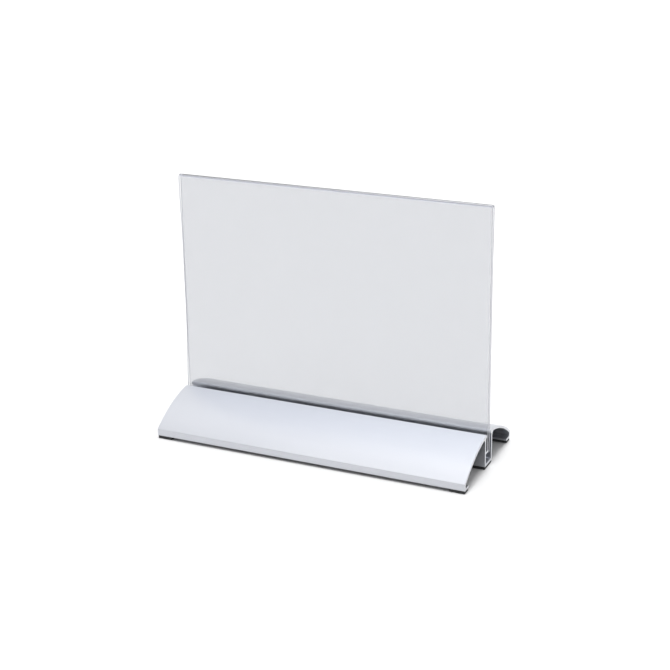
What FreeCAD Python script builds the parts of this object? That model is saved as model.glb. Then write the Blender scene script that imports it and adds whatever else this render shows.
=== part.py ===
import FreeCAD, Part
import math
import os
import re

import Sketcher

# Table-top sign stand: an open-ended aluminium extrusion with a slot along its crown,
# a U-folded clear acrylic pocket that stands loose in the slot, and six rubber pads.
#
# Frame: +X along the stand, +Y from the reader's side to the back, +Z up, millimetres.
# The origin is on the table, under the middle of the stand. Section sketches lie in the
# YZ plane, so their own x is the stand's Y and their own y is the stand's Z.

SIZES = [
    ("stand_length", 210.0, "length of extrusion and pocket: the long side of an A5 sheet"),
    ("base_depth", 86.0, "front lip to rear lip"),
    ("crown_height", 21.0, "slot edges above the underside of the extrusion"),
    ("lip_height", 4.6, "upright face at the foot of each skin"),
    ("skin_radius", 80.0, "gentle outward curve of the two sloping skins"),
    ("wall", 1.5, "thickness of every wall of the extrusion"),
    ("flange_depth", 7.0, "foot flange turned inwards under each lip"),
    ("slot_width", 6.6, "slot between the two rounded noses"),
    ("channel_width", 13.1, "outside width of the channel under the slot"),
    ("ledge_top", 9.3, "top of the ledge that carries the front leaf"),
    ("ledge_thickness", 1.2, "thickness of that ledge"),
    ("ledge_reach", 4.6, "how far that ledge stands out of the front wall"),
    ("root_radius", 2.5, "fillet between channel wall and skin"),
    ("nose_height", 2.5, "upright face of a slot nose, before its rounding"),
    ("nose_radius", 1.6, "rounding of the slot noses at the top"),
    ("edge_radius", 0.5, "rounding of lip, flange and lower nose edges"),
    ("pocket_thickness", 4.4, "outside of front leaf to outside of rear leaf"),
    ("leaf", 1.2, "thickness of the acrylic sheet"),
    ("pocket_top", 164.7, "top of the fold above the underside of the extrusion"),
    ("rear_leaf_bottom", 7.4, "the rear leaf is the longer one and hangs past the ledge"),
    ("pad_thickness", 1.8, "rubber pads lift the extrusion off the table"),
    ("pad_length", 10.0, "pad size along the stand"),
    ("flange_pad_width", 6.0, "pads under the foot flanges, front to back"),
    ("channel_pad_width", 12.7, "pads under the channel floor, front to back"),
    ("pad_corner", 0.5, "upright corner radius of a pad"),
    ("pad_inset", 0.2, "pads stand this far in from the ends and lips"),
]

ALONG_STAND = FreeCAD.Vector(1, 0, 0)
UPWARDS = FreeCAD.Vector(0, 0, 1)
TOLERANCE = 0.01

doc = FreeCAD.newDocument("sign_stand")


def make_sheet():
    """The driving dimensions, one row each: name, aliased value, meaning."""
    sheet = doc.addObject("Spreadsheet::Sheet", "Sizes")
    for row, (alias, number, meaning) in enumerate(SIZES, start=1):
        sheet.set(f"A{row}", alias)
        sheet.set(f"B{row}", str(number))
        sheet.set(f"C{row}", meaning)
        sheet.setAlias(f"B{row}", alias)
    doc.recompute()
    return sheet


sheet = make_sheet()


def size(expression):
    """The present value of an expression over the sheet's dimensions."""
    return float(sheet.evalExpression(expression))


def bound(expression):
    """The same expression as any other object of the document has to write it."""
    return re.sub("[a-z_]+", r"Sizes.\g<0>", expression)


def make_body(label):
    body = doc.addObject("PartDesign::Body", label)
    body.Label = label
    return body


def origin_plane(body, role):
    return next(feature for feature in body.Origin.OriginFeatures if feature.Role == role)


def make_sketch(body, name, role):
    sketch = body.newObject("Sketcher::SketchObject", name)
    sketch.AttachmentSupport = [(origin_plane(body, role), "")]
    sketch.MapMode = "FlatFace"
    return sketch


def dimension(sketch, kind, where, expression):
    """Add one dimensional constraint and bind it to the sheet."""
    index = sketch.addConstraint(Sketcher.Constraint(kind, *where, size(expression)))
    sketch.setExpression(f"Constraints[{index}]", bound(expression))


def place_edge(sketch, edge, axis, expression):
    """Hold a straight edge square to the axis at a distance from the sketch's origin."""
    if expression == "0":
        through_origin = -1 if axis == "y" else -2
        sketch.addConstraint(Sketcher.Constraint("PointOnObject", edge, 1, through_origin))
    else:
        kind = "DistanceX" if axis == "x" else "DistanceY"
        dimension(sketch, kind, (-1, 1, edge, 1), expression)


def stepped_outline(sketch, walls, levels):
    """Closed outline of upright edges at x = walls[i], each followed by a level edge at
    y = levels[i]."""
    corners = []
    for index, wall in enumerate(walls):
        corners.append(FreeCAD.Vector(size(wall), size(levels[index - 1])))
        corners.append(FreeCAD.Vector(size(wall), size(levels[index])))
    count = len(corners)
    for edge in range(count):
        sketch.addGeometry(Part.LineSegment(corners[edge], corners[(edge + 1) % count]))
    for edge in range(count):
        sketch.addConstraint(Sketcher.Constraint("Coincident", edge, 2, (edge + 1) % count, 1))
    for index, wall in enumerate(walls):
        sketch.addConstraint(Sketcher.Constraint("Vertical", 2 * index))
        place_edge(sketch, 2 * index, "x", wall)
    for index, level in enumerate(levels):
        sketch.addConstraint(Sketcher.Constraint("Horizontal", 2 * index + 1))
        place_edge(sketch, 2 * index + 1, "y", level)


def make_pad(body, sketch, name, length, midplane=True):
    pad = body.newObject("PartDesign::Pad", name)
    pad.Profile = sketch
    pad.Midplane = midplane
    pad.setExpression("Length", bound(length))
    doc.recompute()
    return pad


def make_fillet(body, base, name, radius, direction, wanted):
    """Round the base feature's straight edges along the direction, where wanted(start)."""
    names = []
    for number, edge in enumerate(base.Shape.Edges, start=1):
        start, end = edge.Vertexes[0].Point, edge.Vertexes[-1].Point
        run = end - start
        if run.Length > 0 and run.cross(direction).Length < TOLERANCE and wanted(start):
            names.append(f"Edge{number}")
    fillet = body.newObject("PartDesign::Fillet", name)
    fillet.Base = (base, names)
    fillet.setExpression("Radius", bound(radius))
    doc.recompute()
    return fillet


def near(number, expression):
    return abs(number - size(expression)) < TOLERANCE


def skin_sketch(body):
    """Rear skin, lip and foot flange as one band. The two skin curves share a centre."""
    half = size("base_depth / 2")
    lip = size("lip_height")
    nose = size("slot_width / 2")
    crown = size("crown_height")
    wall = size("wall")
    radius = size("skin_radius")
    flange_tip = half - size("flange_depth")

    chord = math.hypot(half - nose, crown - lip)
    centre_drop = math.sqrt(radius ** 2 - (chord / 2) ** 2)
    centre = FreeCAD.Vector(
        (half + nose) / 2 - centre_drop * (crown - lip) / chord,
        (lip + crown) / 2 - centre_drop * (half - nose) / chord,
    )

    def inner_height(y):
        return centre.y + math.sqrt((radius - wall) ** 2 - (y - centre.x) ** 2)

    def skin_arc(arc_radius, foot, top):
        circle = Part.Circle(centre, FreeCAD.Vector(0, 0, 1), arc_radius)
        angles = [math.atan2(point.y - centre.y, point.x - centre.x) for point in (foot, top)]
        return Part.ArcOfCircle(circle, *angles)

    sole_tip = FreeCAD.Vector(flange_tip, 0)
    sole_heel = FreeCAD.Vector(half, 0)
    lip_top = FreeCAD.Vector(half, lip)
    nose_top = FreeCAD.Vector(nose, crown)
    nose_back = FreeCAD.Vector(nose, inner_height(nose))
    lip_inside = FreeCAD.Vector(half - wall, inner_height(half - wall))
    flange_root = FreeCAD.Vector(half - wall, wall)
    flange_top = FreeCAD.Vector(flange_tip, wall)

    sketch = make_sketch(body, "skin_section", "YZ_Plane")
    sole = sketch.addGeometry(Part.LineSegment(sole_tip, sole_heel))
    lip_face = sketch.addGeometry(Part.LineSegment(sole_heel, lip_top))
    outer = sketch.addGeometry(skin_arc(radius, lip_top, nose_top))
    nose_face = sketch.addGeometry(Part.LineSegment(nose_top, nose_back))
    inner = sketch.addGeometry(skin_arc(radius - wall, lip_inside, nose_back))
    lip_back = sketch.addGeometry(Part.LineSegment(lip_inside, flange_root))
    flange_face = sketch.addGeometry(Part.LineSegment(flange_root, flange_top))
    flange_end = sketch.addGeometry(Part.LineSegment(flange_top, sole_tip))

    joins = [
        (sole, 2, lip_face, 1),
        (lip_face, 2, outer, 1),
        (outer, 2, nose_face, 1),
        (nose_face, 2, inner, 2),
        (inner, 1, lip_back, 1),
        (lip_back, 2, flange_face, 1),
        (flange_face, 2, flange_end, 1),
        (flange_end, 2, sole, 1),
        (outer, 3, inner, 3),
    ]
    for join in joins:
        sketch.addConstraint(Sketcher.Constraint("Coincident", *join))
    for edge in (sole, flange_face):
        sketch.addConstraint(Sketcher.Constraint("Horizontal", edge))
    for edge in (lip_face, nose_face, lip_back, flange_end):
        sketch.addConstraint(Sketcher.Constraint("Vertical", edge))
    place_edge(sketch, sole, "y", "0")
    place_edge(sketch, lip_face, "x", "base_depth / 2")
    place_edge(sketch, nose_face, "x", "slot_width / 2")
    place_edge(sketch, lip_back, "x", "base_depth / 2 - wall")
    place_edge(sketch, flange_end, "x", "base_depth / 2 - flange_depth")
    place_edge(sketch, flange_face, "y", "wall")
    dimension(sketch, "DistanceY", (-1, 1, lip_face, 2), "lip_height")
    dimension(sketch, "DistanceY", (-1, 1, nose_face, 1), "crown_height")
    dimension(sketch, "Radius", (outer,), "skin_radius")
    dimension(sketch, "Radius", (inner,), "skin_radius - wall")
    return sketch


def make_base_profile():
    """The extrusion: channel with its ledge, two mirrored skins, rounded edges."""
    body = make_body("base_profile")

    # The channel walls and the noses run up into the thickness of the skins.
    wall_top = "crown_height - 0.75 * wall"
    nose_under = "crown_height - nose_height"
    inner_front = "wall - channel_width / 2"
    channel = make_sketch(body, "channel_section", "YZ_Plane")
    stepped_outline(
        channel,
        walls=[
            "-channel_width / 2",
            "-slot_width / 2",
            inner_front,
            f"{inner_front} + ledge_reach",
            inner_front,
            "channel_width / 2 - wall",
            "slot_width / 2",
            "channel_width / 2",
        ],
        levels=[
            wall_top,
            nose_under,
            "ledge_top",
            "ledge_top - ledge_thickness",
            "wall",
            nose_under,
            wall_top,
            "0",
        ],
    )
    make_pad(body, channel, "channel", "stand_length")

    skin = make_pad(body, skin_sketch(body), "rear_skin", "stand_length")
    mirrored = body.newObject("PartDesign::Mirrored", "front_skin")
    mirrored.Originals = [skin]
    mirrored.MirrorPlane = (origin_plane(body, "XZ_Plane"), [""])
    body.Tip = mirrored
    doc.recompute()

    def at_root(point):
        return point.z > size("crown_height / 2") and near(abs(point.y), "channel_width / 2")

    def at_nose(point):
        return near(abs(point.y), "slot_width / 2") and near(point.z, "crown_height")

    def at_rim(point):
        on_lip = near(abs(point.y), "base_depth / 2")
        on_flange = near(abs(point.y), "base_depth / 2 - flange_depth")
        under_nose = near(abs(point.y), "slot_width / 2") and near(point.z, nose_under)
        return on_lip or under_nose or (on_flange and point.z < size("2 * wall"))

    roots = make_fillet(body, mirrored, "root_fillet", "root_radius", ALONG_STAND, at_root)
    noses = make_fillet(body, roots, "nose_fillet", "nose_radius", ALONG_STAND, at_nose)
    make_fillet(body, noses, "rim_fillet", "edge_radius", ALONG_STAND, at_rim)
    body.setExpression("Placement.Base.z", bound("pad_thickness"))
    return body


def make_sign_pocket():
    """One acrylic sheet folded over at the top: two leaves with a gap for the card."""
    body = make_body("sign_pocket")
    outside = size("pocket_thickness / 2")
    inside = outside - size("leaf")
    fold = size("pocket_top - pocket_thickness / 2")
    front_bottom = size("ledge_top")
    rear_bottom = size("rear_leaf_bottom")

    def half_turn(radius):
        circle = Part.Circle(FreeCAD.Vector(0, fold), FreeCAD.Vector(0, 0, 1), radius)
        return Part.ArcOfCircle(circle, 0, math.pi)

    def line(start, end):
        return Part.LineSegment(FreeCAD.Vector(*start), FreeCAD.Vector(*end))

    sketch = make_sketch(body, "pocket_section", "YZ_Plane")
    front_out = sketch.addGeometry(line((-outside, front_bottom), (-outside, fold)))
    fold_out = sketch.addGeometry(half_turn(outside))
    rear_out = sketch.addGeometry(line((outside, fold), (outside, rear_bottom)))
    rear_end = sketch.addGeometry(line((outside, rear_bottom), (inside, rear_bottom)))
    rear_in = sketch.addGeometry(line((inside, rear_bottom), (inside, fold)))
    fold_in = sketch.addGeometry(half_turn(inside))
    front_in = sketch.addGeometry(line((-inside, fold), (-inside, front_bottom)))
    front_end = sketch.addGeometry(line((-inside, front_bottom), (-outside, front_bottom)))

    for join in (
        (front_out, 2, fold_out, 2),
        (fold_out, 1, rear_out, 1),
        (rear_in, 2, fold_in, 1),
        (fold_in, 2, front_in, 1),
    ):
        sketch.addConstraint(Sketcher.Constraint("Tangent", *join))
    for join in (
        (rear_out, 2, rear_end, 1),
        (rear_end, 2, rear_in, 1),
        (front_in, 2, front_end, 1),
        (front_end, 2, front_out, 1),
        (fold_out, 3, fold_in, 3),
    ):
        sketch.addConstraint(Sketcher.Constraint("Coincident", *join))
    for edge in (rear_end, front_end):
        sketch.addConstraint(Sketcher.Constraint("Horizontal", edge))
    for edge in (front_out, rear_out, rear_in, front_in):
        sketch.addConstraint(Sketcher.Constraint("Vertical", edge))
    sketch.addConstraint(Sketcher.Constraint("PointOnObject", fold_out, 3, -2))
    dimension(sketch, "Radius", (fold_out,), "pocket_thickness / 2")
    dimension(sketch, "Radius", (fold_in,), "pocket_thickness / 2 - leaf")
    dimension(sketch, "DistanceY", (-1, 1, fold_out, 3), "pocket_top - pocket_thickness / 2")
    place_edge(sketch, front_end, "y", "ledge_top")
    place_edge(sketch, rear_end, "y", "rear_leaf_bottom")
    make_pad(body, sketch, "pocket", "stand_length")
    body.setExpression("Placement.Base.z", bound("pad_thickness"))
    return body


def make_rubber_pad(label, width, x, y):
    """A flat rubber pad with rounded corners, under one end of a foot."""
    body = make_body(label)
    sketch = make_sketch(body, f"{label}_outline", "XY_Plane")
    stepped_outline(
        sketch,
        walls=["-pad_length / 2", "pad_length / 2"],
        levels=[f"{width} / 2", f"-{width} / 2"],
    )
    slab = make_pad(body, sketch, f"{label}_slab", "pad_thickness", midplane=False)
    make_fillet(body, slab, f"{label}_corners", "pad_corner", UPWARDS, lambda point: True)
    body.setExpression("Placement.Base.x", bound(x))
    body.setExpression("Placement.Base.y", bound(y))
    return body


def make_pads():
    """Six pads: under the front flange, the channel and the rear flange, at each end."""
    flange_y = "base_depth / 2 - pad_inset - flange_pad_width / 2"
    end_x = "stand_length / 2 - pad_inset - pad_length / 2"
    rows = [
        ("front", "flange_pad_width", f"-({flange_y})"),
        ("centre", "channel_pad_width", "0"),
        ("rear", "flange_pad_width", flange_y),
    ]
    ends = [("left", f"-({end_x})"), ("right", end_x)]
    return [
        make_rubber_pad(f"{row}_{end}_pad", width, x, y)
        for row, width, y in rows
        for end, x in ends
    ]


def check_document():
    for item in doc.Objects:
        faults = {"Invalid", "Error"} & set(item.State)
        if faults:
            raise RuntimeError(f"{item.Label}: {sorted(faults)}")


def export(bodies):
    os.makedirs("parts", exist_ok=True)
    for body in bodies:
        shape = body.Shape
        if shape.isNull() or not shape.isValid() or len(shape.Solids) != 1:
            raise RuntimeError(f"{body.Label}: bad shape")
    for body in bodies:
        body.Shape.exportStep(f"parts/{body.Label}.step")


bodies = [make_base_profile(), make_sign_pocket()] + make_pads()
doc.recompute()
check_document()
export(bodies)
for body in bodies:
    box = body.Shape.BoundBox
    print(
        f"{body.Label:18s} {body.Shape.Volume / 1000:8.2f} cm3"
        f"  x {box.XMin:7.2f} {box.XMax:7.2f}"
        f"  y {box.YMin:7.2f} {box.YMax:7.2f}"
        f"  z {box.ZMin:7.2f} {box.ZMax:7.2f}"
    )
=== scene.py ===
import math

import bmesh
import bpy
from mathutils import Matrix, Vector


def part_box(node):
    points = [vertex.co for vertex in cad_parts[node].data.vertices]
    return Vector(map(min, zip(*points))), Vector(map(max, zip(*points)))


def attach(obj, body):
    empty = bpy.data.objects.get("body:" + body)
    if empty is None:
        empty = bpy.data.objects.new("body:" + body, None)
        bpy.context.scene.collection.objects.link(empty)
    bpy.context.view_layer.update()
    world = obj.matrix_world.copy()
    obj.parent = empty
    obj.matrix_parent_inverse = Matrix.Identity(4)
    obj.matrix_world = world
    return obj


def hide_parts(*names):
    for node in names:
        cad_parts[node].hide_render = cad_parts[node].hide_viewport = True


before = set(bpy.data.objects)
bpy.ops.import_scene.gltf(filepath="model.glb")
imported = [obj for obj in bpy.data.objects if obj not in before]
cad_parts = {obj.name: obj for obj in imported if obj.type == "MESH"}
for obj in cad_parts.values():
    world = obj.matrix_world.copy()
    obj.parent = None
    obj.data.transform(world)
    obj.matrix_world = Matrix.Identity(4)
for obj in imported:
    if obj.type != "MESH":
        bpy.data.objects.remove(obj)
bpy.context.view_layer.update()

# Table sign stand in metres: +X along the stand, +Y to the back, +Z up, table at z = 0.
# The base and the pocket are (y, z) outlines swept along the stand, and the pads are
# (x, y) outlines swept upwards. Sizes repeat the CAD model's, and the small inside and edge
# roundings are finer than it has.

MM = 0.001

# ---------------------------------------------------------------- sizes from the frame
base_low, base_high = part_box("base_profile")
pocket_low, pocket_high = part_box("sign_pocket")
END = base_high.x
SOLE = base_low.z
HALF_DEPTH = base_high.y

# ---------------------------------------------------------------- section of the extrusion
# Heights are above the underside of the extrusion, depths from the middle of the slot.
LIP_TOP = SOLE + 4.6 * MM
CROWN = SOLE + 21.0 * MM
WALL = 1.5 * MM
SKIN_RADIUS = 80 * MM
FLANGE_TIP = HALF_DEPTH - 7 * MM
NOSE = 3.3 * MM
CHANNEL_OUT = 6.55 * MM
CHANNEL_IN = CHANNEL_OUT - WALL
LEDGE_TOP = SOLE + 9.3 * MM
LEDGE_UNDER = LEDGE_TOP - 1.2 * MM
LEDGE_TIP = CHANNEL_IN - 4.6 * MM
ROOT_RADIUS = 2.5 * MM
NOSE_HEIGHT = 2.5 * MM
NOSE_RADIUS = 1.6 * MM
EDGE_RADIUS = 0.5 * MM
CREASE_RADIUS = 0.25 * MM
INSIDE_RADIUS = 0.35 * MM
CUT_BEVEL = 0.12 * MM

# Where the curved runs of a skin stop short of their rounded corners, and the steps they take.
SKIN_FROM_NOSE = 2.2 * MM
SKIN_FROM_LIP = 0.8 * MM
UNDERSIDE_FROM_LIP = 3 * MM
UNDERSIDE_FROM_CHANNEL = 3.4 * MM
SKIN_STEPS = 56
UNDERSIDE_STEPS = 40

# ---------------------------------------------------------------- section of the pocket
LEAF = 1.2 * MM
FOLD_OUT = pocket_high.y
FOLD_IN = FOLD_OUT - LEAF
FOLD_CENTRE = pocket_high.z - FOLD_OUT
LEAF_EDGE_RADIUS = 0.3 * MM
LEAF_SPACING = 2.5 * MM
FOLD_STEPS = 24

# Faces this far above the fold's centre belong to the bend, and its crest, which gets a dark
# painted shade, is higher and behind.
BEND_START = 0.2 * MM
CREST_START = 0.75 * MM
CREST_BEHIND = 0.2 * MM

# How the sheet is bowed, in millimetres: (height, value) stops, from slot at 0 to fold at 1.
# Pinch brings each leaf inwards, and sway moves both, towards the back where it is positive.
PINCH = [(0.0, 0.15), (0.25, 0.80), (0.70, 0.80), (1.0, 0.0)]
SWAY_LEFT = [(0.0, -0.45), (0.35, 0.20), (0.60, -0.20), (1.0, -1.20)]
SWAY_RIGHT = [(0.0, -0.45), (0.35, -0.80), (0.70, -1.00), (1.0, -0.80)]
PINCH_AT_LEFT = 1.2
PINCH_LOST_AT_RIGHT = 0.5

# ---------------------------------------------------------------- pads
PAD_CORNER = 0.5 * MM
PAD_BEVEL = 0.2 * MM

# ---------------------------------------------------------------- fineness of the meshes
ARC_STEP = math.radians(10)
SHARP_ANGLE = math.radians(35)
BASE_STATIONS = 12
POCKET_STATIONS = 36


# ================================================================ outlines
def rounded(corners):
    """Closed outline through (a, b, radius) corners, each turned in an arc of its radius."""
    outline = []
    for index, (a, b, radius) in enumerate(corners):
        corner = Vector((a, b))
        if radius == 0:
            outline.append(corner)
            continue
        before = (Vector(corners[index - 1][:2]) - corner).normalized()
        after = (Vector(corners[(index + 1) % len(corners)][:2]) - corner).normalized()
        half_angle = before.angle(after) / 2
        centre = corner + (before + after).normalized() * radius / math.sin(half_angle)
        reach = radius / math.tan(half_angle)
        first = corner + before * reach - centre
        last = corner + after * reach - centre
        turn = (math.pi - 2 * half_angle) * math.copysign(1, first.x * last.y - first.y * last.x)
        steps = max(2, math.ceil(abs(turn) / ARC_STEP))
        for count in range(steps + 1):
            outline.append(centre + Matrix.Rotation(turn * count / steps, 2) @ first)
    return outline


def skin_centre():
    """Centre of the skin's curve, which runs from the lip's top to the nose's top."""
    lip = Vector((HALF_DEPTH, LIP_TOP))
    nose = Vector((NOSE, CROWN))
    chord = nose - lip
    drop = math.sqrt(SKIN_RADIUS ** 2 - (chord.length / 2) ** 2)
    return (lip + nose) / 2 - Vector((chord.y, -chord.x)).normalized() * drop


def skin_height(y, inset):
    """Height of the skin's curve at a depth, or of its underside one wall further in."""
    centre = skin_centre()
    return centre.y + math.sqrt((SKIN_RADIUS - inset) ** 2 - (y - centre.x) ** 2)


def skin_run(start, end, inset, steps):
    """Points on the skin's curve, or on its underside, between two depths."""
    depths = [start + (end - start) * count / steps for count in range(steps + 1)]
    return [(y, skin_height(y, inset), 0) for y in depths]


def base_outline():
    """The whole section of the extrusion: rear half, its mirror, ledge and channel floor."""
    rear = [
        (CHANNEL_IN, CROWN - NOSE_HEIGHT, INSIDE_RADIUS),
        (NOSE, CROWN - NOSE_HEIGHT, EDGE_RADIUS),
        (NOSE, CROWN, NOSE_RADIUS),
        *skin_run(NOSE + SKIN_FROM_NOSE, HALF_DEPTH - SKIN_FROM_LIP, 0, SKIN_STEPS),
        (HALF_DEPTH, LIP_TOP, CREASE_RADIUS),
        (HALF_DEPTH, SOLE, EDGE_RADIUS),
        (FLANGE_TIP, SOLE, EDGE_RADIUS),
        (FLANGE_TIP, SOLE + WALL, EDGE_RADIUS),
        (HALF_DEPTH - WALL, SOLE + WALL, INSIDE_RADIUS),
        (HALF_DEPTH - WALL, skin_height(HALF_DEPTH - WALL, WALL), INSIDE_RADIUS),
        *skin_run(
            HALF_DEPTH - UNDERSIDE_FROM_LIP,
            CHANNEL_OUT + UNDERSIDE_FROM_CHANNEL,
            WALL,
            UNDERSIDE_STEPS,
        ),
        (CHANNEL_OUT, skin_height(CHANNEL_OUT, WALL), ROOT_RADIUS),
        (CHANNEL_OUT, SOLE, EDGE_RADIUS),
    ]
    front = [(-y, z, radius) for y, z, radius in reversed(rear)]
    ledge = [
        (-CHANNEL_IN, LEDGE_TOP, INSIDE_RADIUS),
        (-LEDGE_TIP, LEDGE_TOP, INSIDE_RADIUS),
        (-LEDGE_TIP, LEDGE_UNDER, INSIDE_RADIUS),
        (-CHANNEL_IN, LEDGE_UNDER, INSIDE_RADIUS),
    ]
    floor = [(-CHANNEL_IN, SOLE + WALL, INSIDE_RADIUS), (CHANNEL_IN, SOLE + WALL, INSIDE_RADIUS)]
    return rounded(rear + front + ledge + floor)


def straight_run(y, start, end):
    """Points inside an upright run, close enough together for the leaf to bow."""
    steps = round(abs(end - start) / LEAF_SPACING)
    return [(y, start + (end - start) * count / steps, 0) for count in range(1, steps)]


def half_circle(radius, first, last):
    """Points on the fold's bend, between two angles."""
    angles = [first + (last - first) * count / FOLD_STEPS for count in range(FOLD_STEPS + 1)]
    return [(radius * math.cos(a), FOLD_CENTRE + radius * math.sin(a), 0) for a in angles]


def pocket_outline():
    """Section of the folded sheet: up the front, over the fold, down the rear, and back."""
    front_foot, rear_foot = LEDGE_TOP, pocket_low.z
    corners = [(-FOLD_OUT, front_foot, LEAF_EDGE_RADIUS)]
    corners += straight_run(-FOLD_OUT, front_foot, FOLD_CENTRE)
    corners += half_circle(FOLD_OUT, math.pi, 0)
    corners += straight_run(FOLD_OUT, FOLD_CENTRE, rear_foot)
    corners += [(FOLD_OUT, rear_foot, LEAF_EDGE_RADIUS), (FOLD_IN, rear_foot, LEAF_EDGE_RADIUS)]
    corners += straight_run(FOLD_IN, rear_foot, FOLD_CENTRE)
    corners += half_circle(FOLD_IN, 0, math.pi)
    corners += straight_run(-FOLD_IN, FOLD_CENTRE, front_foot)
    corners += [(-FOLD_IN, front_foot, LEAF_EDGE_RADIUS)]
    return rounded(corners)


# ================================================================ meshes
def inset_outline(outline, inset):
    """The outline drawn in by a small distance along its corner normals."""
    area = sum(p.x * q.y - p.y * q.x for p, q in zip(outline, outline[1:] + outline[:1]))
    side = math.copysign(1, area)
    moved = []
    for index, point in enumerate(outline):
        into = (point - outline[index - 1]).normalized()
        out = (outline[(index + 1) % len(outline)] - point).normalized()
        normal = Vector((-(into + out).y, (into + out).x)).normalized() * side
        moved.append(point + normal * inset)
    return moved


def sweep(name, outline, stations, bevel, place, materials):
    """Solid made by sweeping a closed outline through the stations, with bevelled cut ends.
    place turns a station and an outline point into a place in the scene. The sides take the
    first material, the ends and their bevels the second."""
    narrow = inset_outline(outline, bevel)
    first, last = stations[0], stations[-1]
    rings = [(first, narrow), (first + bevel, outline)]
    rings += [(middle, outline) for middle in stations[1:-1]]
    rings += [(last - bevel, outline), (last, narrow)]

    mesh = bmesh.new()
    loops = [[mesh.verts.new(place(station, p.x, p.y)) for p in ring] for station, ring in rings]
    count = len(outline)
    for ring, (near, far) in enumerate(zip(loops, loops[1:])):
        is_bevel = ring in (0, len(loops) - 2)
        for index in range(count):
            after = (index + 1) % count
            face = mesh.faces.new((near[index], near[after], far[after], far[index]))
            face.material_index = int(is_bevel)
    caps = [mesh.faces.new(loops[0]), mesh.faces.new(loops[-1])]
    for cap in caps:
        cap.material_index = 1
        cap.normal_update()
    bmesh.ops.triangulate(mesh, faces=caps)
    bmesh.ops.recalc_face_normals(mesh, faces=mesh.faces)
    return finish_mesh(name, mesh, materials)


def finish_mesh(name, mesh, materials):
    """The mesh as an object in the scene, smooth but for its sharp edges."""
    data = bpy.data.meshes.new(name)
    mesh.to_mesh(data)
    mesh.free()
    data.shade_smooth()
    data.set_sharp_from_angle(angle=SHARP_ANGLE)
    for material in materials:
        data.materials.append(material)
    piece = bpy.data.objects.new(name, data)
    bpy.context.scene.collection.objects.link(piece)
    weighted = piece.modifiers.new("face_weighted_normals", "WEIGHTED_NORMAL")
    weighted.keep_sharp = True
    return piece


def even_stations(count):
    """Places along the stand, from end to end."""
    return [-END + 2 * END * index / count for index in range(count + 1)]


def along_stand(station, y, z):
    """A (y, z) outline's point at a station along the stand."""
    return Vector((station, y, z))


def upwards(station, x, y):
    """An (x, y) outline's point at a station's height."""
    return Vector((x, y, station))


def install(piece, body, node):
    """A finished piece rides on its body and stands for its CAD node."""
    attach(piece, body)
    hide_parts(node)


# ================================================================ materials
# Noise scales, in cells per metre along X, Y and Z.
DRAWING_LINES = (6, 1400, 1400)
METAL_GRAIN = (5200, 5200, 5200)
METAL_CLOUDS = (14, 45, 45)
SAW_MARKS = 5200.0
SAW_CENTRE = (0, 0.05, -0.15)
RUBBER_PEBBLE = (2600, 2600, 2600)
RUBBER_DUST = (420, 420, 420)
SHEET_WAVES = (9, 9, 9)
EDGE_WAVES = (300, 2400, 900)

# Nearly all of a noise texture's values lie between these.
NOISE_LOW = 0.25
NOISE_HIGH = 0.75

# Bumps, as (strength, depth in metres).
GRAIN_BUMP = (0.10, 0.02 * MM)
LINES_BUMP = (0.12, 0.03 * MM)
SAW_BUMP = (0.35, 0.03 * MM)
RIPPLE_BUMP = (0.15, 0.05 * MM)
PEBBLE_BUMP = (0.4, 0.05 * MM)

# Roughness, from the smoothest spots to the roughest.
SATIN = (0.30, 0.40)
SAWN = (0.34, 0.50)
MATT = (0.70, 0.88)
POLISHED = 0.01
FROSTED = 0.30

ALUMINIUM_DARK = (0.560, 0.572, 0.610)
ALUMINIUM_LIGHT = (0.600, 0.612, 0.645)
SAWN_DARK = (0.56, 0.57, 0.60)
SAWN_LIGHT = (0.72, 0.73, 0.75)
RUBBER_DARK = (0.012, 0.012, 0.013)
RUBBER_LIGHT = (0.040, 0.040, 0.042)
# The leaves' tint is painted shade: the clear acrylic is greyed as if a dimmer backdrop showed
# through it.
SHEET_PAINTED_SHADE = (0.800, 0.805, 0.819)
EDGE_TINT = (0.60, 0.61, 0.67)
# The bend's tint is the same painted grey as the leaves', and the crest's near-black is painted
# shade for the dark line along the fold's top.
BEND_PAINTED_SHADE = (0.80, 0.805, 0.84)
CREST_PAINTED_SHADE = (0.11, 0.12, 0.15)
OPEN_TINT = (0.97, 0.975, 0.985, 1)

ACRYLIC_IOR = 1.49
HALF_CLEAR = 0.5


def new_material(name):
    """A material with nodes, its node tree and its shader."""
    material = bpy.data.materials.new(name)
    material.use_nodes = True
    tree = material.node_tree
    return material, tree, tree.nodes["Principled BSDF"]


def add_node(tree, kind, inputs, **settings):
    """A node with its settings, and inputs given as numbers or as sockets to link."""
    node = tree.nodes.new(kind)
    for key, value in settings.items():
        setattr(node, key, value)
    for key, value in inputs.items():
        if isinstance(value, bpy.types.NodeSocket):
            tree.links.new(value, node.inputs[key])
        else:
            node.inputs[key].default_value = value
    return node


def calculate(tree, operation, first, second):
    """A math node's value for two numbers or sockets."""
    return add_node(tree, "ShaderNodeMath", {0: first, 1: second}, operation=operation).outputs[0]


def object_space(tree, scale):
    """The piece's own coordinates, in metres, multiplied by a scale for each axis."""
    coordinates = add_node(tree, "ShaderNodeTexCoord", {})
    source = coordinates.outputs["Object"]
    return add_node(tree, "ShaderNodeMapping", {"Vector": source, "Scale": scale}).outputs[0]


def noise(tree, vector, detail=3.0, roughness=0.5):
    """A noise value, in cells of one unit of the vector."""
    inputs = {"Vector": vector, "Scale": 1.0, "Detail": detail, "Roughness": roughness}
    return add_node(tree, "ShaderNodeTexNoise", inputs).outputs["Fac"]


def remap(tree, value, low, high):
    """A noise value spread over another range."""
    return spread(tree, value, NOISE_LOW, NOISE_HIGH, low, high)


def spread(tree, value, start, end, low, high):
    """A value mapped from start..end to low..high, and held beyond."""
    ranges = ("Value", "From Min", "From Max", "To Min", "To Max")
    inputs = dict(zip(ranges, (value, start, end, low, high)))
    return add_node(tree, "ShaderNodeMapRange", inputs).outputs["Result"]


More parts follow.
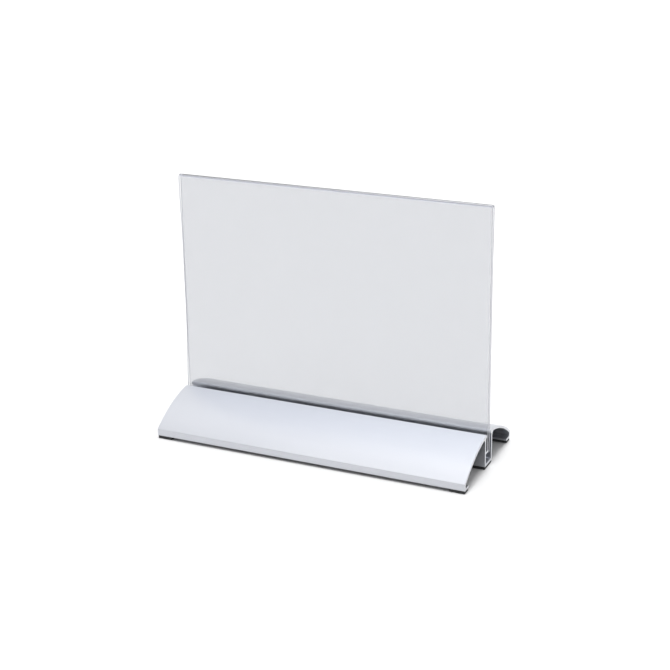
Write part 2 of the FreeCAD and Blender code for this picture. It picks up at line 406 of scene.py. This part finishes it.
def tone(tree, value, dark, light):
    """A colour between two, by a texture value."""
    inputs = {0: value, 6: (*dark, 1), 7: (*light, 1)}
    return add_node(tree, "ShaderNodeMix", inputs, data_type="RGBA").outputs[2]


def bump(tree, height, strength, distance, under=None):
    """A normal raised by a texture value, on top of another bump if one is given."""
    inputs = {"Height": height, "Strength": strength, "Distance": distance}
    if under is not None:
        inputs["Normal"] = under
    return add_node(tree, "ShaderNodeBump", inputs).outputs["Normal"]


def anodised_aluminium():
    """Satin anodised skin: drawing lines along the extrusion over a fine even grain."""
    material, tree, shader = new_material("anodised_aluminium")
    lines = noise(tree, object_space(tree, DRAWING_LINES), detail=4)
    grain = noise(tree, object_space(tree, METAL_GRAIN), detail=2)
    clouds = noise(tree, object_space(tree, METAL_CLOUDS), detail=2)
    shader.inputs["Metallic"].default_value = 1.0
    colour = tone(tree, clouds, ALUMINIUM_DARK, ALUMINIUM_LIGHT)
    tree.links.new(colour, shader.inputs["Base Color"])
    tree.links.new(remap(tree, lines, *SATIN), shader.inputs["Roughness"])
    fine = bump(tree, grain, *GRAIN_BUMP)
    tree.links.new(bump(tree, lines, *LINES_BUMP, fine), shader.inputs["Normal"])
    return material


def sawn_aluminium():
    """Cut end of the extrusion: shallow arcs left by a saw blade that came from below."""
    material, tree, shader = new_material("sawn_aluminium")
    blade = add_node(
        tree,
        "ShaderNodeVectorMath",
        {0: object_space(tree, (0, 1, 1)), 1: SAW_CENTRE},
        operation="DISTANCE",
    )
    inputs = {"W": blade.outputs["Value"], "Scale": SAW_MARKS, "Detail": 3.0}
    marks = add_node(tree, "ShaderNodeTexNoise", inputs, noise_dimensions="1D").outputs["Fac"]
    shader.inputs["Metallic"].default_value = 1.0
    colour = tone(tree, marks, SAWN_DARK, SAWN_LIGHT)
    tree.links.new(colour, shader.inputs["Base Color"])
    tree.links.new(remap(tree, marks, *SAWN), shader.inputs["Roughness"])
    tree.links.new(bump(tree, marks, *SAW_BUMP), shader.inputs["Normal"])
    return material


def clear_sheet(name, tint, roughness, waves, clearness=1.0):
    """Acrylic with a tint as its colour. On the leaves and the bend that tint is painted shade, on
    the crest it is a dark painted shade, and on the cut edge it is the frosted edge's own colour.
    Lamplight, and what the satin metal mirrors, comes straight through it, so it throws hardly any
    shadow and doesn't dim the skins."""
    material, tree, shader = new_material(name)
    shader.inputs["Base Color"].default_value = (*tint, 1)
    shader.inputs["Roughness"].default_value = roughness
    shader.inputs["IOR"].default_value = ACRYLIC_IOR
    shader.inputs["Transmission Weight"].default_value = clearness
    ripple = noise(tree, object_space(tree, waves), detail=2)
    tree.links.new(bump(tree, ripple, *RIPPLE_BUMP), shader.inputs["Normal"])

    open_shader = add_node(tree, "ShaderNodeBsdfTransparent", {"Color": OPEN_TINT})
    rays = add_node(tree, "ShaderNodeLightPath", {}).outputs
    mirrored = calculate(tree, "GREATER_THAN", rays["Glossy Depth"], rays["Transmission Depth"])
    untouched = calculate(tree, "LESS_THAN", rays["Transmission Depth"], 0.5)
    reflected = calculate(tree, "MULTIPLY", mirrored, untouched)
    straight = calculate(tree, "MAXIMUM", rays["Is Shadow Ray"], reflected)
    mix = add_node(
        tree, "ShaderNodeMixShader", {0: straight, 1: shader.outputs[0], 2: open_shader.outputs[0]}
    )
    tree.links.new(mix.outputs[0], tree.nodes["Material Output"].inputs["Surface"])
    return material


def black_rubber():
    """Matt moulded rubber with a fine pebble and a dusting of lint."""
    material, tree, shader = new_material("black_rubber")
    pebble = noise(tree, object_space(tree, RUBBER_PEBBLE), detail=3)
    dust = noise(tree, object_space(tree, RUBBER_DUST), detail=4, roughness=0.65)
    colour = tone(tree, dust, RUBBER_DARK, RUBBER_LIGHT)
    tree.links.new(colour, shader.inputs["Base Color"])
    tree.links.new(remap(tree, pebble, *MATT), shader.inputs["Roughness"])
    tree.links.new(bump(tree, pebble, *PEBBLE_BUMP), shader.inputs["Normal"])
    return material


# ================================================================ pieces
def make_base():
    """The aluminium extrusion, satin along its length and sawn at both ends."""
    materials = [anodised_aluminium(), sawn_aluminium()]
    piece = sweep(
        "base_extrusion",
        base_outline(),
        even_stations(BASE_STATIONS),
        CUT_BEVEL,
        along_stand,
        materials,
    )
    install(piece, "base", "base_profile")


def eased(height, stops):
    """A value that changes smoothly with height, through (height, value) stops."""
    (low, before), *rest = stops
    value = before
    for high, after in rest:
        share = min(max((height - low) / (high - low), 0), 1)
        value += (after - before) * share * share * (3 - 2 * share)
        low, before = high, after
    return value


def bow_pocket(piece):
    """The leaves spring together between slot and fold, and the sheet stands a little askew."""
    top = FOLD_CENTRE - CROWN
    for vertex in piece.data.vertices:
        x, y, z = vertex.co
        height = (z - CROWN) / top
        rightness = (x + END) / (2 * END)
        pinch = eased(height, PINCH)
        pinch *= PINCH_AT_LEFT - PINCH_LOST_AT_RIGHT * rightness
        left = eased(height, SWAY_LEFT)
        right = eased(height, SWAY_RIGHT)
        side = math.copysign(1, y)
        sway = left + (right - left) * rightness
        vertex.co.y += (sway - side * pinch) * MM


def paint_fold_shade(piece, bend, crest):
    """The bend gets its own grey, painted shade like the leaves' tint, and the back of its crest,
    which turns light away, a near-black painted shade for the dark line along the top of the fold."""
    first = len(piece.data.materials)
    piece.data.materials.append(bend)
    piece.data.materials.append(crest)
    for face in piece.data.polygons:
        rise = face.center.z - FOLD_CENTRE
        if face.material_index != 0 or rise < BEND_START:
            continue
        is_outside = math.hypot(face.center.y, rise) > (FOLD_OUT + FOLD_IN) / 2
        is_crest = is_outside and face.center.y > CREST_BEHIND and rise > CREST_START
        face.material_index = first + int(is_crest)


def make_pocket():
    """The folded acrylic sheet: leaves with a painted grey shade, frosted cut edges, and a bend
    with a dark painted shade along its crest.
    """
    sheet = clear_sheet("clear_acrylic", SHEET_PAINTED_SHADE, POLISHED, SHEET_WAVES)
    edge = clear_sheet("acrylic_cut_edge", EDGE_TINT, FROSTED, EDGE_WAVES, HALF_CLEAR)
    bend = clear_sheet("acrylic_bend_painted_shade", BEND_PAINTED_SHADE, POLISHED, SHEET_WAVES)
    crest = clear_sheet("acrylic_crest_painted_shade", CREST_PAINTED_SHADE, POLISHED, SHEET_WAVES)
    piece = sweep(
        "acrylic_pocket",
        pocket_outline(),
        even_stations(POCKET_STATIONS),
        CUT_BEVEL,
        along_stand,
        [sheet, edge],
    )
    paint_fold_shade(piece, bend, crest)
    bow_pocket(piece)
    install(piece, "pocket", "sign_pocket")


def make_pad(node, material):
    """A rubber pad as large as its CAD node, with moulded corners and a soft rim."""
    low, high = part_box(node)
    outline = rounded(
        [
            (low.x, low.y, PAD_CORNER),
            (high.x, low.y, PAD_CORNER),
            (high.x, high.y, PAD_CORNER),
            (low.x, high.y, PAD_CORNER),
        ]
    )
    piece = sweep(
        node.replace("_pad", "_rubber_pad"),
        outline,
        [low.z, high.z],
        PAD_BEVEL,
        upwards,
        [material, material],
    )
    install(piece, "base", node)


def make_pads():
    """A pad for every pad node, all of one rubber."""
    material = black_rubber()
    for node in sorted(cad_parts):
        if node.endswith("_pad"):
            make_pad(node, material)


# ================================================================ studio
FLOOR_SIZE = 16.0
FLOOR_COLOUR = (0.505, 0.505, 0.505, 1)
FLOOR_ROUGHNESS = 0.9
FLOOR_GLOSS = 0.1

# The tent's strength by direction, each as (start, end, low, high) for spread().
TENT_RISE = (0.0, 1.0, 0.83, 1.50)
TENT_SIDES = (0.0, 0.75, 1.55, 0.57)
TENT_FRONT = (-0.75, -0.2, 0.60, 1.0)
BACKDROP_STRENGTH = 1.22
TENT_COLOUR = (0.985, 0.99, 1.0, 1)

LAMP_STRENGTH = 3.4
LAMP_ANGLE = math.radians(22)


def make_floor():
    """A plain pale floor, evenly matt."""
    material, tree, shader = new_material("studio_floor")
    shader.inputs["Base Color"].default_value = FLOOR_COLOUR
    shader.inputs["Roughness"].default_value = FLOOR_ROUGHNESS
    shader.inputs["Specular IOR Level"].default_value = FLOOR_GLOSS
    mesh = bmesh.new()
    bmesh.ops.create_grid(mesh, x_segments=1, y_segments=1, size=FLOOR_SIZE / 2)
    data = bpy.data.meshes.new("studio_floor")
    mesh.to_mesh(data)
    mesh.free()
    data.materials.append(material)
    floor = bpy.data.objects.new("studio_floor", data)
    bpy.context.scene.collection.objects.link(floor)


def make_world():
    """A tent of light: brightest overhead, dimmer at the horizon, at the sides and in front.
    Seen directly or through the pane it is an even white backdrop."""
    world = bpy.data.worlds.new("light_tent")
    bpy.context.scene.world = world
    world.use_nodes = True
    tree = world.node_tree
    direction = add_node(tree, "ShaderNodeTexCoord", {}).outputs["Generated"]
    axes = add_node(tree, "ShaderNodeSeparateXYZ", {"Vector": direction}).outputs
    sideways = add_node(tree, "ShaderNodeMath", {0: axes["X"]}, operation="ABSOLUTE").outputs[0]
    rise = spread(tree, axes["Z"], *TENT_RISE)
    sides = spread(tree, sideways, *TENT_SIDES)
    front = spread(tree, axes["Y"], *TENT_FRONT)
    overhead = calculate(tree, "MULTIPLY", rise, sides)
    tent = calculate(tree, "MULTIPLY", overhead, front)
    rays = add_node(tree, "ShaderNodeLightPath", {}).outputs
    seen = calculate(tree, "MAXIMUM", rays["Is Camera Ray"], rays["Is Transmission Ray"])
    inputs = {"Factor": seen, "A": tent, "B": BACKDROP_STRENGTH}
    strength = add_node(tree, "ShaderNodeMix", inputs)
    background = tree.nodes["Background"]
    tree.links.new(strength.outputs["Result"], background.inputs["Strength"])
    background.inputs["Color"].default_value = TENT_COLOUR


def make_lights():
    """One broad lamp overhead, for the short soft shadow. The satin skins mirror the tent only."""
    light = bpy.data.lights.new("overhead_lamp", "SUN")
    light.energy = LAMP_STRENGTH
    light.angle = LAMP_ANGLE
    lamp = bpy.data.objects.new("overhead_lamp", light)
    lamp.visible_glossy = False
    bpy.context.scene.collection.objects.link(lamp)


# The camera stands to the right of the stand and looks a little down on it.
CAMERA_YAW = math.radians(24.54)
CAMERA_PITCH = math.radians(17.07)
CAMERA_ROLL = math.radians(-0.64)
CAMERA_PLACE = (0.3600, -0.7825, 0.3842)
CAMERA_LENS = 78.0
CAMERA_SENSOR = 36.0
CAMERA_SHIFT = -0.11
CLIP_NEAR = 0.01
CLIP_FAR = 60.0


def make_camera():
    """The camera at the photograph's viewing angle."""
    data = bpy.data.cameras.new("camera")
    data.lens = CAMERA_LENS
    data.sensor_width = CAMERA_SENSOR
    data.shift_y = CAMERA_SHIFT
    data.clip_start = CLIP_NEAR
    data.clip_end = CLIP_FAR
    camera = bpy.data.objects.new("camera", data)
    heading = Matrix.Rotation(CAMERA_YAW, 4, "Z")
    tilt = Matrix.Rotation(math.pi / 2 - CAMERA_PITCH, 4, "X")
    roll = Matrix.Rotation(CAMERA_ROLL, 4, "Z")
    camera.matrix_world = Matrix.Translation(CAMERA_PLACE) @ heading @ tilt @ roll
    bpy.context.scene.collection.objects.link(camera)
    bpy.context.scene.camera = camera


bpy.context.scene.view_settings.view_transform = "Standard"
make_camera()
make_world()
make_lights()
make_floor()
make_base()
make_pocket()
make_pads()
bpy.context.view_layer.update()
